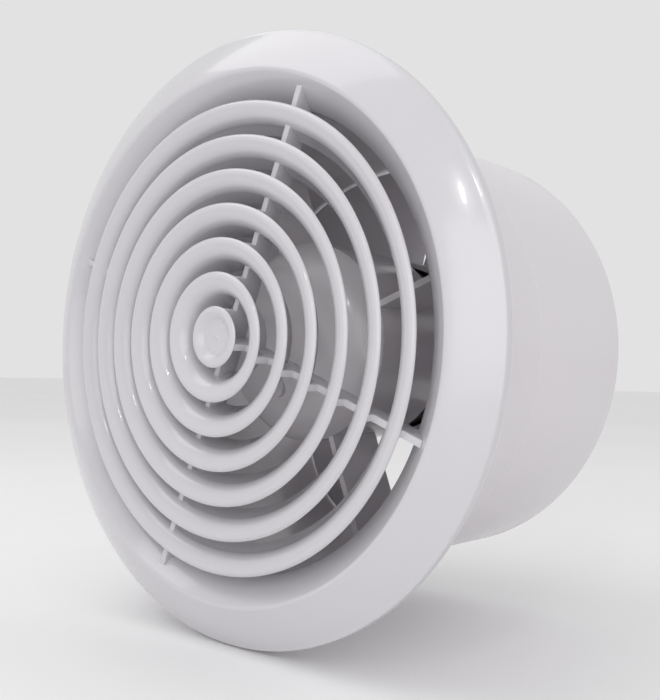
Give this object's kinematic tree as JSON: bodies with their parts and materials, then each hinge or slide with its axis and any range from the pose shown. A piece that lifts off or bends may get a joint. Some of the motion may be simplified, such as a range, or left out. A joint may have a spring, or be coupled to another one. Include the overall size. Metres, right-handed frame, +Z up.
{
  "type": "bathroom extractor fan",
  "caption": "Round axial bathroom extractor fan with a domed ring grille, motor cup on plate struts, rear impeller and a straight duct spigot.",
  "frame": {"origin": "centre of the base flange's wall face, on the fan's axis", "axes": "+Y into the duct, away from the room, along the fan's axis; +Z up; +X to the right seen from the room"},
  "size_m": [0.186, 0.1197, 0.186],
  "materials": {
    "white_abs": "gloss",
    "inner_abs": "satin",
    "impeller_plastic": "satin",
    "black_plastic": "satin",
    "terminal_plastic": "satin",
    "rubber_black": "matte",
    "rubber_grey": "matte",
    "zinc_steel": "satin",
    "shaft_steel": "polished",
    "lamination": "matte",
    "copper_enamel": "gloss",
    "copper": "satin",
    "brass": "satin",
    "bronze": "matte",
    "cast_zinc": "matte",
    "aluminium": "satin",
    "nylon": "satin",
    "wire_insulation": "satin"
  },
  "bodies": {
    "base": {"base_flange": "inner_abs", "base_spigot": "inner_abs", "motor_struts": "inner_abs", "motor_cup": "inner_abs", "duct_extension": "inner_abs", "nose_cap": "inner_abs", "nose_cap_screw": "inner_abs", "cable_grommet": "rubber_grey", "cable_channel": "inner_abs", "terminal_block": "terminal_plastic", "terminal_inserts": "brass", "terminal_screws": "zinc_steel", "cord_clamp": "nylon", "cord_clamp_screws": "zinc_steel", "motor_leads": "wire_insulation", "motor_case": "black_plastic", "motor_front_shield": "cast_zinc", "motor_screws": "zinc_steel", "isolation_rings": "rubber_black", "stator_stack": "lamination", "shading_rings": "copper", "pole_bobbins": "nylon", "pole_coils": "copper_enamel", "thermal_cutout": "black_plastic", "front_bush": "bronze", "rear_bush": "bronze"},
    "cover": {"front_bezel": "white_abs", "front_grille": "white_abs"},
    "rotor": {"impeller": "impeller_plastic", "hub_insert": "brass", "impeller_washer": "zinc_steel", "impeller_nut": "zinc_steel", "motor_shaft": "shaft_steel", "rotor_core": "lamination", "rotor_cage": "aluminium", "thrust_washers": "nylon"}
  },
  "joints": [
    {"name": "impeller_spin", "type": "hinge", "parent": "base", "child": "rotor", "pos_m": [0, 0.06, 0], "axis": [0, 1, 0], "continuous": true},
    {"name": "cover_pull", "type": "slide", "parent": "base", "child": "cover", "axis": [0, -1, 0], "range_m": [0, 0.03]}
  ]
}
